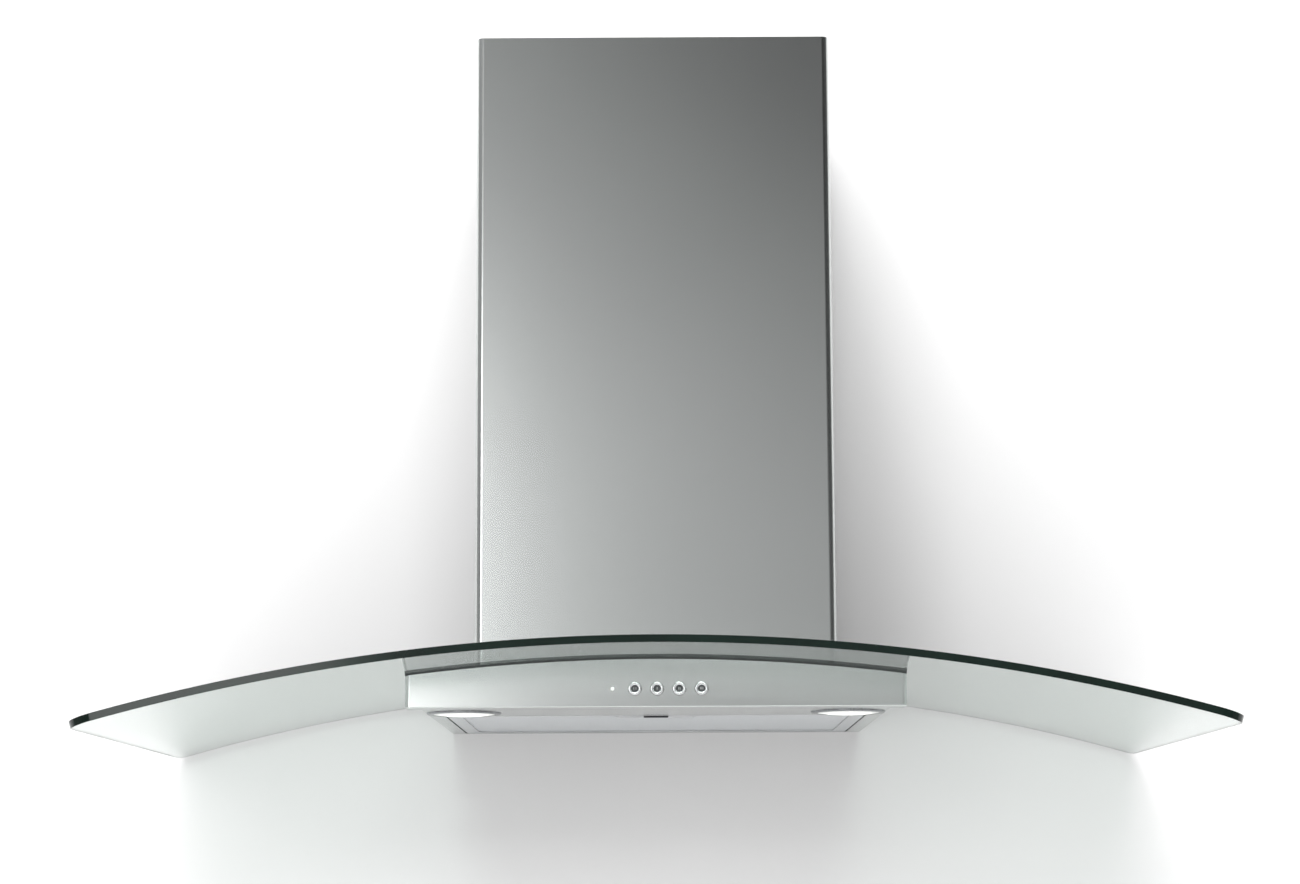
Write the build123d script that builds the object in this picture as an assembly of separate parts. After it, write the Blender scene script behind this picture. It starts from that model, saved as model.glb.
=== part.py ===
from build123d import *
import os
from math import asin, cos, degrees, radians, sin

# Curved glass chimney range hood for a wall, in millimetres.
# X runs to the right, Y runs into the wall and Z runs up, so the front faces -Y.
# The origin is where the centre line meets the wall, level with the underside of the body.

# Glass canopy: one sheet bent to an arc across the width and straight from front to back.
glass_width = 900.0
glass_thickness = 6.0
glass_sagitta = 63.5
glass_front = -500.0
glass_rear = -2.0
glass_front_corner = 22.0
glass_rear_corner = 10.0

# Body under the glass and the control fascia in front of it.
body_height = 39.0
body_half = 191.0
body_front = -344.0
sheet = 1.0
partition_y = -275.0
gasket = 2.0
fascia_half = 203.0
fascia_front = -370.0
fascia_sheet = 1.2
fascia_gap = 0.3
fascia_corner = 4.0

# Hole that lets the air up through the glass.
air_half = 115.0
air_front = -225.0
air_rear = -45.0
air_corner = 10.0

# Sheet-steel box that carries the blower and hangs on the wall.
box_half = 130.0
box_front = -245.0
box_top = 320.0
box_sheet = 1.2
box_bend = 4.0
flange_half = 146.0
flange_front = -260.0
flange_rear = -6.0
flange_corner = 6.0
box_gasket = 1.5

# Chimney covers: the inner one slides up out of the outer one.
chimney_half = 153.5
chimney_front = -270.0
chimney_rear = -2.0
chimney_top = 592.0
chimney_bend = 6.0
chimney_return = 13.0
chimney_play = 0.8
inner_cover_rear = -4.2
inner_cover_bottom = 92.0
inner_cover_top = 590.0

# Scroll and fan, on an axis that runs left to right.
fan_y = -102.0
fan_z = 165.0
scroll_inner_half = 50.0
scroll_wall = 2.0
scroll_radius = 98.0
scroll_step = 6.0
inlet_radius = 58.0
inlet_lip = 8.0
fan_radius = 73.0
fan_half = 46.0
blade_root = 58.0
blade_count = 30
blade_thickness = 1.6
shaft_radius = 4.0
shaft_play = 0.05
motor_radius = 40.0
motor_arm_angles = (30, 150, 270)
motor_arm_reach = inlet_radius + 18.0
motor_post = 6.0

# Round outlet with two non-return flaps.
collar_y = -148.0
collar_radius = 75.0
collar_wall = 1.5
collar_flange = 90.0
collar_top = 372.0
flap_level = 334.0
flap_sheet = 1.5
pin_radius = 1.5
knuckle_radius = 3.2

# Grease filter, hung on two side pins at its rear edge and latched in front.
filter_half = 177.0
filter_front = -266.5
filter_rear = -14.0
filter_height = 9.0
filter_sheet = 1.0
filter_corner = 3.0
filter_border = 12.0
filter_play = 1.5
filter_pin_y = -20.0
filter_pin_z = 4.5
filter_pin_radius = 2.0

# Lamps.
lamp_x = 159.5
lamp_y = -305.0
lamp_bezel_radius = 31.0
lamp_cup_radius = 26.0
lens_radius = 25.4
lens_sag = 4.0
lens_wall = 1.6
lens_skirt = 2.0

# Controls on the fascia.
control_z = 15.0
button_x = (-17.0, 1.0, 19.0, 37.0)
indicator_x = -35.0
button_radius = 5.4
button_play = 0.3
button_proud = 1.6
board_front = -358.0
board_thickness = 1.6
fascia_screw_x = 183.0

# Screws through the glass, M5.
glass_screw_x = 138.0
glass_screw_y = (-235.0, -35.0)
screw_radius = 2.5

# Wall fixings.
hook_x = 90.0
hook_top = 262.0
hook_window = 40.0
fixing_radius = 4.0
lower_fixing_x = 100.0
lower_fixing_z = 75.0
bracket_z = 572.0

glass_top_radius = ((glass_width / 2) ** 2 + glass_sagitta**2) / (2 * glass_sagitta)
glass_under_radius = glass_top_radius - glass_thickness
body_top_radius = glass_under_radius - gasket
box_seat_radius = glass_top_radius + box_gasket
arch_centre_z = body_height - body_top_radius
above_arch = 70.0
parts = {}


def block(x_low, x_high, y_low, y_high, z_low, z_high):
    """Box between two corners."""
    size = (x_high - x_low, y_high - y_low, z_high - z_low)
    middle = ((x_low + x_high) / 2, (y_low + y_high) / 2, (z_low + z_high) / 2)
    return Pos(*middle) * Box(*size)


def rounded_block(half, y_low, y_high, z_low, z_high, corner):
    """Box centred on the YZ plane, with its upright edges rounded."""
    outline = RectangleRounded(2 * half, y_high - y_low, corner)
    return Pos(0, (y_low + y_high) / 2, z_low) * extrude(outline, z_high - z_low)


def arch_rod(radius):
    """Rod on the axis of the glass's arc, longer than the hood is deep."""
    length = 2 * abs(glass_front)
    return Pos(0, glass_front / 2, arch_centre_z) * Rot(90, 0, 0) * Cylinder(radius, length)


def on_arch(x, y, radius):
    """Place on the arc at this radius, with Z square to the glass."""
    tilt = degrees(asin(x / radius))
    return Pos(0, y, arch_centre_z) * Rot(0, tilt, 0) * Pos(0, 0, radius)


def along_x(x_low, x_high, radius, y, z):
    """Round bar parallel to X."""
    middle = (x_low + x_high) / 2
    return Pos(middle, y, z) * Rot(0, 90, 0) * Cylinder(radius, x_high - x_low)


def along_y(y_low, y_high, radius, x, z):
    """Round bar parallel to Y."""
    middle = (y_low + y_high) / 2
    return Pos(x, middle, z) * Rot(90, 0, 0) * Cylinder(radius, y_high - y_low)


def along_z(z_low, z_high, radius, x, y):
    """Round bar parallel to Z."""
    middle = (z_low + z_high) / 2
    return Pos(x, y, middle) * Cylinder(radius, z_high - z_low)


def glass_screw_places(radius):
    """Where the four glass screws cross the arc of this radius."""
    return [on_arch(side * glass_screw_x, y, radius) for side in (-1, 1) for y in glass_screw_y]


def screw_holes(radius):
    """Bars that cut the four glass screw holes."""
    return [place * Cylinder(radius, 40) for place in glass_screw_places(glass_under_radius)]


def make_glass():
    half_angle = degrees(asin(glass_width / 2 / glass_top_radius))
    centre = (0, arch_centre_z)
    top = CenterArc(centre, glass_top_radius, 90 - half_angle, 2 * half_angle)
    under = CenterArc(centre, glass_under_radius, 90 - half_angle, 2 * half_angle)
    section = make_face([top, under, Line(top @ 0, under @ 0), Line(top @ 1, under @ 1)])
    glass = extrude(Plane.XZ.offset(-glass_rear) * section, glass_rear - glass_front)
    corners = glass.edges().filter_by(lambda edge: abs(edge.length - glass_thickness) < 0.01)
    glass = fillet(corners.group_by(Axis.Y)[0], glass_front_corner)
    corners = glass.edges().filter_by(lambda edge: abs(edge.length - glass_thickness) < 0.01)
    glass = fillet(corners.group_by(Axis.Y)[-1], glass_rear_corner)
    glass -= rounded_block(air_half, air_front, air_rear, 0, above_arch, air_corner)
    parts["glass_canopy"] = glass - screw_holes(4.5)


def make_gaskets():
    border = 12.0
    ring = block(-body_half, body_half, body_front, 0, 0, above_arch)
    ring += block(-fascia_half, fascia_half, fascia_front, body_front, 0, above_arch)
    ring -= block(
        border - body_half, body_half - border, body_front + border, -border, 0, above_arch
    )
    ring = (ring & arch_rod(glass_under_radius)) - arch_rod(body_top_radius)
    parts["perimeter_gasket"] = ring
    pad = block(-flange_half, flange_half, flange_front, flange_rear, 0, above_arch)
    pad -= rounded_block(air_half + 3, air_front - 3, air_rear + 3, 0, above_arch, air_corner)
    pad = (pad & arch_rod(box_seat_radius)) - arch_rod(glass_top_radius)
    parts["blower_gasket"] = pad - screw_holes(4.5)


def make_body():
    outer = block(-body_half, body_half, body_front, 0, 0, above_arch)
    outer = fillet(outer.edges().filter_by(Axis.Z).group_by(Axis.Y)[0], 3 * sheet)
    inner = block(
        sheet - body_half, body_half - sheet, body_front + sheet, -sheet, sheet, above_arch
    )
    inner = fillet(inner.edges().filter_by(Axis.Z).group_by(Axis.Y)[0], 2 * sheet)
    body = (outer & arch_rod(body_top_radius)) - (inner & arch_rod(body_top_radius - sheet))
    partition = block(
        sheet - body_half, body_half - sheet, partition_y - sheet, partition_y, 0, above_arch
    )
    body += partition & arch_rod(body_top_radius - sheet / 2)
    body -= rounded_block(air_half, air_front, air_rear, body_height / 2, above_arch, air_corner)
    body -= block(
        -filter_half - filter_play,
        filter_half + filter_play,
        filter_front - filter_play,
        filter_rear + filter_play + 1,
        -sheet,
        2 * sheet,
    )
    for side in (-1, 1):
        body -= along_z(-sheet, 2 * sheet, lamp_cup_radius + 1.6, side * lamp_x, lamp_y)
        body -= along_y(body_front - sheet, body_front + 2 * sheet, 2.1, side * fascia_screw_x, control_z)
    wiring_slot = block(-40, 40, body_front - sheet, body_front + 2 * sheet, 30, 34)
    parts["canopy_body"] = body - wiring_slot - screw_holes(2.8)


def make_fascia():
    rear = body_front - fascia_gap
    outer = block(-fascia_half, fascia_half, fascia_front, rear, 0, above_arch)
    outer = fillet(outer.edges().filter_by(Axis.Z).group_by(Axis.Y)[0], fascia_corner)
    front_edge = outer.edges().filter_by(Axis.X).group_by(Axis.Z)[0].sort_by(Axis.Y)[0]
    outer = fillet(front_edge, 1.0)
    wall = fascia_half - fascia_sheet
    inner = block(-wall, wall, fascia_front + fascia_sheet, rear + 1, fascia_sheet, above_arch + 1)
    inner = fillet(
        inner.edges().filter_by(Axis.Z).group_by(Axis.Y)[0], fascia_corner - fascia_sheet
    )
    fascia = (outer - inner) & arch_rod(body_top_radius)
    for side in (-1, 1):
        ear_ends = sorted((side * (fascia_screw_x - 6), side * wall))
        ear = block(*ear_ends, rear - fascia_sheet, rear, 5, 25)
        hole = along_y(rear - 2 * fascia_sheet, rear + 1, 2.1, side * fascia_screw_x, control_z)
        fascia += ear - hole
    back = fascia_front + fascia_sheet
    for x in (-46.0, 51.0):
        for z in (8.0, 22.0):
            fascia += along_y(back, board_front, 2.0, x, z)
    for x in button_x:
        fascia -= along_y(fascia_front - 1, back + 1, button_radius + button_play, x, control_z)
    fascia -= along_y(fascia_front - 1, back + 1, 1.55, indicator_x, control_z)
    parts["control_fascia"] = fascia
    screws = []
    for side in (-1, 1):
        x = side * fascia_screw_x
        head = along_y(body_front + sheet, body_front + sheet + 2.4, 3.8, x, control_z)
        shank = along_y(rear - 5, body_front + sheet, 2.0, x, control_z)
        screws.append(head + shank)
    parts["fascia_screws"] = Compound(screws)


def make_controls():
    names = ("light_button", "speed_one_button", "speed_two_button", "speed_three_button")
    cap_front = fascia_front - button_proud
    plate_rear = fascia_front + fascia_sheet
    collar_front = plate_rear + button_play
    stem_end = board_front - 6.0
    for name, x in zip(names, button_x):
        profile = Polyline(
            (0, cap_front + 0.5),
            (button_radius - 2.2, cap_front + 0.5),
            (button_radius - 1.2, cap_front),
            (button_radius - 0.4, cap_front),
            (button_radius, cap_front + 0.4),
            (button_radius, collar_front),
            (button_radius + 1.2, collar_front),
            (button_radius + 1.2, collar_front + 1.2),
            (2.0, collar_front + 1.2),
            (2.0, stem_end),
            (0, stem_end),
            close=True,
        )
        button = revolve(make_face(profile), Axis.Y)
        parts[name] = Pos(x, 0, control_z) * button
    board = block(-50, 55, board_front, board_front + board_thickness, 5, 25)
    parts["switch_board"] = board
    switches = []
    for x in button_x:
        base = block(x - 3, x + 3, board_front - 3.2, board_front, control_z - 3, control_z + 3)
        switches.append(base + along_y(board_front - 4.2, board_front - 3.2, 1.7, x, control_z))
    parts["tact_switches"] = Compound(switches)
    rod = along_y(fascia_front - 0.6, board_front, 1.5, indicator_x, control_z)
    parts["indicator_lens"] = fillet(rod.edges().sort_by(Axis.Y)[0], 0.5)


def make_control_box():
    low_y = body_front + 6
    high_y = partition_y - 5
    case = block(-95, 95, low_y, high_y, sheet, 27)
    case -= block(-93, 93, low_y + 2, high_y - 2, sheet + 2, 28)
    parts["control_box"] = case
    lid = block(-96, 96, low_y - 1, high_y + 1, 27, 29)
    lid = fillet(lid.edges().filter_by(Axis.Z), 3)
    lid -= [block(x - 1.5, x + 1.5, low_y + 12, high_y - 12, 26, 30) for x in range(-70, 71, 14)]
    parts["control_box_lid"] = lid


def make_lamps():
    for side, name in ((-1, "left"), (1, "right")):
        place = Pos(side * lamp_x, lamp_y, 0)
        cup = Polyline(
            (lamp_cup_radius, -1.5),
            (lamp_bezel_radius - 1.0, -1.5),
            (lamp_bezel_radius, -0.5),
            (lamp_bezel_radius, 0),
            (lamp_cup_radius + 1.2, 0),
            (lamp_cup_radius + 1.2, 12),
            (14, 20),
            (6, 20),
            (6, 18.5),
            (13.4, 18.5),
            (lamp_cup_radius, 11.2),
            close=True,
        )
        housing = revolve(Plane.XZ * make_face(cup), Axis.Z)
        parts["lamp_housing_" + name] = place * housing
        dome_radius = (lens_radius**2 + lens_sag**2) / (2 * lens_sag)
        hollow_radius = dome_radius - lens_wall
        bore = lens_radius - lens_wall
        centre = (0, dome_radius - lens_sag)
        outside = CenterArc(centre, dome_radius, 270, degrees(asin(lens_radius / dome_radius)))
        inside = CenterArc(centre, hollow_radius, 270, degrees(asin(bore / hollow_radius)))
        skirt = Polyline(outside @ 1, (lens_radius, lens_skirt), (bore, lens_skirt), inside @ 1)
        section = make_face([outside, skirt, inside, Line(outside @ 0, inside @ 0)])
        lens = revolve(Plane.XZ * section, Axis.Z)
        parts["lamp_lens_" + name] = place * Pos(0, 0, -1) * lens
        bulb = Cylinder(4.5, 9) + Pos(0, 0, -4.5) * Sphere(4.5)
        socket = Pos(0, 0, 7.4) * Cylinder(5.9, 6)
        pins = [Pos(x, 0, 5) * Cylinder(0.5, 4) for x in (-2, 2)]
        parts["lamp_bulb_" + name] = place * Pos(0, 0, 12) * (bulb + pins + socket)


def make_filter():
    frame = rounded_block(
        filter_half, filter_front, filter_rear, 0, filter_height, filter_corner
    )
    frame -= rounded_block(
        filter_half - filter_sheet,
        filter_front + filter_sheet,
        filter_rear - filter_sheet,
        filter_sheet,
        filter_height - filter_sheet,
        filter_corner - filter_sheet,
    )
    frame -= rounded_block(
        filter_half - filter_border,
        filter_front + filter_border,
        filter_rear - filter_border,
        -1,
        filter_height + 1,
        filter_corner,
    )
    latch_plate = block(-32, 32, filter_front + 0.5, -232, 0, 1)
    spring_stop = block(-6, 6, -233.2, -232, 1, 6.5)
    frame += latch_plate + spring_stop
    frame -= rounded_block(11, -259, -247, -1, 1.5, 3)
    frame -= block(-8.5, 8.5, filter_front - 1, filter_front + 2, 1.3, 4.1)
    for side in (-1, 1):
        ends = sorted((side * (filter_half - 0.5), side * (filter_half + 7)))
        frame += along_x(*ends, filter_pin_radius, filter_pin_y, filter_pin_z)
    parts["filter_frame"] = frame

    inset = 1.3
    notch = block(-34, 34, filter_front, -228, 0, filter_height)
    screen = rounded_block(
        filter_half - inset, filter_front + inset, filter_rear - inset, 1, 1.6, 3
    )
    parts["filter_screen"] = screen - notch

    pitch = 12.0
    waves = int(2 * (filter_half - 2 * inset) // pitch)
    half = waves * pitch / 2
    low = 2.0
    high = 7.0
    core_sheet = 0.8
    lower = []
    for i in range(2 * waves + 1):
        lower.append((-half + i * pitch / 2, low if i % 2 else high))
    upper = [(x, z + core_sheet) for x, z in reversed(lower)]
    section = make_face(Polyline(*lower, *upper, close=True))
    depth = filter_rear - filter_front - 2 * inset
    core = extrude(Plane.XZ.offset(inset - filter_rear) * section, depth)
    parts["filter_core"] = core - notch

    slider = rounded_block(14, -262, -243, 1.2, 3.4, 2)
    slider += block(-8, 8, -273, -260, 1.6, 3.4)
    slider += rounded_block(10, -257, -255.2, 0.2, 2, 0.8)
    parts["filter_latch"] = slider
    turns = 5
    spring_start = -242.65
    spring_length = 9.1
    coil = Helix(spring_length / turns, spring_length, 1.9)
    wire = sweep(Plane(coil @ 0, z_dir=coil % 0) * Rectangle(0.6, 0.6), coil, is_frenet=True)
    parts["latch_spring"] = Pos(0, spring_start, 3.6) * Rot(-90, 0, 0) * wire
    for side, name in ((-1, "left"), (1, "right")):
        ends = sorted((side * (filter_half + 3), side * (filter_half + 8)))
        pivot = block(*ends, filter_pin_y - 5, filter_pin_y + 5, sheet, filter_height)
        pivot = fillet(pivot.edges().filter_by(Axis.X).group_by(Axis.Z)[-1], 3)
        bore = along_x(ends[0] - 1, ends[1] + 1, filter_pin_radius + 0.05, filter_pin_y, filter_pin_z)
        parts["filter_pivot_" + name] = pivot - bore


def make_blower_box():
    """Wrapper, back panel, top panel and the arched flange that seats the box on the glass."""
    wall = box_half - box_sheet
    ceiling = box_top - box_sheet
    outer = block(-box_half, box_half, box_front, 0, 0, ceiling)
    outer = fillet(outer.edges().filter_by(Axis.Z).group_by(Axis.Y)[0], box_bend)
    inner = block(-wall, wall, box_front + box_sheet, 1, -1, box_top)
    inner = fillet(inner.edges().filter_by(Axis.Z).group_by(Axis.Y)[0], box_bend - box_sheet)
    seat = arch_rod(box_seat_radius)
    parts["blower_box"] = outer - inner - seat

    back = block(-wall, wall, -box_sheet, 0, 0, ceiling) - seat
    for side in (-1, 1):
        low_x = side * hook_x - hook_window / 2
        window = block(low_x, low_x + hook_window, -5, 1, hook_top - hook_window, hook_top)
        back -= window
        back -= along_y(-5, 1, fixing_radius, side * lower_fixing_x, lower_fixing_z)
    parts["blower_back"] = back

    lid = block(-box_half, box_half, box_front, 0, ceiling, box_top)
    lid = fillet(lid.edges().filter_by(Axis.Z).group_by(Axis.Y)[0], box_bend)
    lid -= along_z(box_top - 5, box_top + 1, collar_radius - collar_wall, 0, collar_y)
    lid -= along_z(box_top - 5, box_top + 1, 6.1, -105, -30)
    parts["blower_top"] = lid

    outline = block(-box_half, box_half, box_front, 1, 0, 2 * above_arch)
    outline = fillet(outline.edges().filter_by(Axis.Z).group_by(Axis.Y)[0], box_bend)
    flange = block(-flange_half, flange_half, flange_front, flange_rear, 0, 2 * above_arch)
    flange = fillet(flange.edges().filter_by(Axis.Z).group_by(Axis.Y)[0], flange_corner)
    flange = (flange & arch_rod(box_seat_radius + box_sheet)) - seat - outline
    parts["blower_flange"] = flange - screw_holes(2.8)


def make_collar_and_flaps():
    flange_top = box_top + 2
    bore = collar_radius - collar_wall
    profile = Polyline(
        (bore, box_top),
        (collar_flange, box_top),
        (collar_flange, flange_top),
        (collar_radius, flange_top),
        (collar_radius, collar_top - 1),
        (collar_radius - 0.5, collar_top),
        (bore, collar_top),
        (bore, flap_level - 1.4),
        (bore - 3.5, flap_level - 1.4),
        (bore - 3.5, flap_level - 2.6),
        (bore, flap_level - 3.8),
        close=True,
    )
    place = Pos(0, collar_y, 0)
    collar = revolve(Plane.XZ * make_face(profile), Axis.Z)
    pin = along_x(-collar_radius, collar_radius, pin_radius, 0, flap_level)
    collar -= pin
    screw_circle = 82.5
    screws = []
    for angle in (45, 135, 225, 315):
        x = screw_circle * cos(radians(angle))
        y = screw_circle * sin(radians(angle))
        collar -= along_z(box_top - 1, flange_top + 1, 2.1, x, y)
        head = along_z(flange_top, flange_top + 2.2, 3.6, x, y)
        head = fillet(head.edges().sort_by(Axis.Z)[-1], 1.2)
        screws.append(head + along_z(box_top, flange_top, 2.0, x, y))
    parts["outlet_collar"] = place * collar
    parts["collar_screws"] = place * Compound(screws)
    parts["flap_pin"] = place * pin

    flap_radius = bore - 0.6
    slots = 6
    slot = 2 * (flap_radius - 5) / slots
    gap = knuckle_radius + 1.0
    for side, name in ((-1, "front"), (1, "rear")):
        disc = Cylinder(flap_radius, flap_sheet) & block(
            -flap_radius, flap_radius, *sorted((0, side * flap_radius)), -5, 5
        )
        knuckles = []
        for i in range(slots):
            start = -slot * slots / 2 + i * slot
            own = (i % 2 == 0) == (side < 0)
            if own:
                knuckles.append(along_x(start + 0.3, start + slot - 0.3, knuckle_radius, 0, 0))
            else:
                disc -= block(start - 0.3, start + slot + 0.3, -gap, gap, -5, 5)
        for end in (-1, 1):
            edges = sorted((end * (flap_radius - 5.3), end * (flap_radius + 1)))
            disc -= block(*edges, -knuckle_radius, knuckle_radius, -5, 5)
        flap = disc + knuckles
        flap -= along_x(-collar_radius, collar_radius, pin_radius + shaft_play, 0, 0)
        parts["flap_" + name] = place * Pos(0, 0, flap_level) * flap


def volute(extra):
    """Scroll outline in the plane square to the fan's axis: three quarter arcs of shrinking
    radius, each tangent to the next, and a straight outlet that rises to the box's top."""
    first = (fan_y, fan_z)
    second = (fan_y, fan_z - scroll_step)
    third = (fan_y + scroll_step, fan_z - scroll_step)
    radii = [scroll_radius - i * scroll_step + extra for i in range(3)]
    arcs = [
        CenterArc(first, radii[0], 180, 90),
        CenterArc(second, radii[1], 270, 90),
        CenterArc(third, radii[2], 0, 90),
    ]
    closing = Polyline(arcs[2] @ 1, first, arcs[0] @ 0)
    spiral = make_face([*arcs, closing])
    outlet_low = fan_y - scroll_radius - extra
    outlet_high = fan_y + scroll_step + extra
    top = box_top - box_sheet
    width = outlet_high - outlet_low
    outlet = Pos((outlet_low + outlet_high) / 2, (fan_z + top) / 2) * Rectangle(width, top - fan_z)
    return spiral + outlet


def make_scroll():
    axis_place = Pos(0, fan_y, fan_z)
    centre_x = scroll_inner_half + scroll_wall
    for side, name in ((-1, "left"), (1, "right")):
        shell = extrude(Plane.YZ * volute(scroll_wall), side * centre_x)
        shell -= extrude(Plane.YZ * volute(0), side * scroll_inner_half)
        shell -= along_x(*sorted((0, side * 2 * centre_x)), inlet_radius, fan_y, fan_z)
        lip_centre = (centre_x, inlet_radius + inlet_lip)
        wide = CenterArc(lip_centre, inlet_lip, 270, 90)
        narrow = CenterArc(lip_centre, inlet_lip - scroll_wall, 270, 90)
        lip_face = make_face([wide, narrow, Line(wide @ 0, narrow @ 0), Line(wide @ 1, narrow @ 1)])
        lip = revolve(lip_face, Axis.X)
        if side < 0:
            lip = mirror(lip, Plane.YZ)
        shell += axis_place * lip
        parts["scroll_" + name] = shell
    for angle in motor_arm_angles:
        y = fan_y + motor_arm_reach * cos(radians(angle))
        z = fan_z + motor_arm_reach * sin(radians(angle))
        parts["scroll_right"] += along_x(centre_x - 0.5, centre_x + motor_post, 5.0, y, z)


def make_fan():
    place = Pos(0, fan_y, fan_z)
    disc = along_x(-1.5, 1.5, fan_radius, 0, 0)
    hub = along_x(-10, 5, 12, 0, 0)
    fan = disc + hub
    for side in (-1, 1):
        ends = sorted((side * (fan_half - 2.5), side * fan_half))
        fan += along_x(*ends, fan_radius + 0.8, 0, 0) - along_x(*ends, blade_root + 1, 0, 0)
    outer_point = (fan_radius - 1.0, 7.0)
    middle_point = (blade_root + 9.0, 1.6)
    lift = Vector(0, blade_thickness)
    root_point = (blade_root, 0)
    face_arc = ThreePointArc(root_point, middle_point, outer_point)
    back_arc = ThreePointArc(*(Vector(*p) + lift for p in (root_point, middle_point, outer_point)))
    blade_face = make_face(
        [face_arc, back_arc, Line(face_arc @ 0, back_arc @ 0), Line(face_arc @ 1, back_arc @ 1)]
    )
    blade = extrude(Plane.YZ * blade_face, fan_half - 1, both=True)
    blades = [Rot(i * 360 / blade_count, 0, 0) * blade for i in range(blade_count)]
    fan = fan + blades
    parts["impeller"] = place * (fan - along_x(-20, 20, shaft_radius, 0, 0))
    parts["motor_shaft"] = place * along_x(-14, 58, shaft_radius, 0, 0)

    motor_profile = Polyline(
        (8, shaft_radius + shaft_play),
        (8, 16),
        (14, 18),
        (14, motor_radius - 4),
        (18, motor_radius),
        (56, motor_radius),
        (62, motor_radius - 6),
        (66, 20),
        (66, 0),
        (60, 0),
        (60, shaft_radius + shaft_play),
        close=True,
    )
    parts["motor"] = place * revolve(make_face(motor_profile), Axis.X)
    arm_x = scroll_inner_half + scroll_wall + motor_post
    bush_length = 4.0
    plate_x = arm_x + bush_length
    plate = along_x(plate_x, plate_x + 2, motor_radius + 8, 0, 0)
    bushes = []
    screws = []
    for angle in motor_arm_angles:
        arm = block(plate_x, plate_x + 2, 0, motor_arm_reach, -6, 6)
        arm += along_x(plate_x, plate_x + 2, 6, motor_arm_reach, 0)
        plate += Rot(angle, 0, 0) * arm
        y = motor_arm_reach * cos(radians(angle))
        z = motor_arm_reach * sin(radians(angle))
        plate -= along_x(plate_x - 1, plate_x + 3, 2.2, y, z)
        bush = along_x(arm_x, plate_x, 6, y, z) - along_x(arm_x, plate_x, 2.2, y, z)
        bushes.append(fillet(bush.edges().group_by(Axis.X)[0].sort_by(SortBy.LENGTH)[-1], 1))
        head = along_x(plate_x + 2, plate_x + 4.6, 4, y, z)
        screws.append(head + along_x(arm_x, plate_x + 2, 2.0, y, z))
    seat = revolve(make_face(motor_profile), Axis.X)
    parts["motor_bracket"] = place * (plate - seat - along_x(plate_x - 1, plate_x + 3, 28, 0, 0))
    parts["motor_bushes"] = place * Compound(bushes)
    parts["motor_screws"] = place * Compound(screws)


def make_electrics():
    capacitor = along_z(92, 150, 15, 108, -36)
    capacitor = fillet(capacitor.edges(), 2)
    clip = block(box_half - box_sheet - 8, box_half - box_sheet, -44, -28, 115, 130)
    parts["capacitor"] = capacitor + clip
    block_x = box_sheet - box_half
    terminals = block(block_x, block_x + 16, -96, -54, 255, 279)
    terminals = fillet(terminals.edges().filter_by(Axis.Y).group_by(Axis.X)[-1], 3)
    for y in (-88, -75, -62):
        terminals -= along_x(block_x + 8, block_x + 18, 3, y, 267)
        terminals -= along_z(250, 262, 2, block_x + 6, y)
    parts["terminal_block"] = terminals
    bore = 4.0
    gland_profile = Polyline(
        (bore, box_top - 10),
        (6, box_top - 10),
        (6, box_top),
        (11, box_top),
        (11, box_top + 6),
        (9, box_top + 6),
        (9, box_top + 16),
        (6.5, box_top + 20),
        (bore, box_top + 20),
        close=True,
    )
    gland = revolve(Plane.XZ * make_face(gland_profile), Axis.Z)
    under = box_top - box_sheet
    nut = extrude(RegularPolygon(9, 6) - Circle(6), -4)
    parts["cable_gland"] = Pos(-105, -30, 0) * (gland + Pos(0, 0, under) * nut)


def u_cover(half, front, rear, bottom, top):
    """Folded cover: a front, two sides and two narrow returns along the wall."""
    outer = block(-half, half, front, rear, bottom, top)
    outer = fillet(outer.edges().filter_by(Axis.Z).group_by(Axis.Y)[0], chimney_bend)
    inner = block(sheet - half, half - sheet, front + sheet, rear - sheet, bottom, top)
    inner = fillet(inner.edges().filter_by(Axis.Z).group_by(Axis.Y)[0], chimney_bend - sheet)
    opening = half - chimney_return
    return outer - inner - block(-opening, opening, rear - 2 * sheet, rear, bottom, top)


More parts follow.
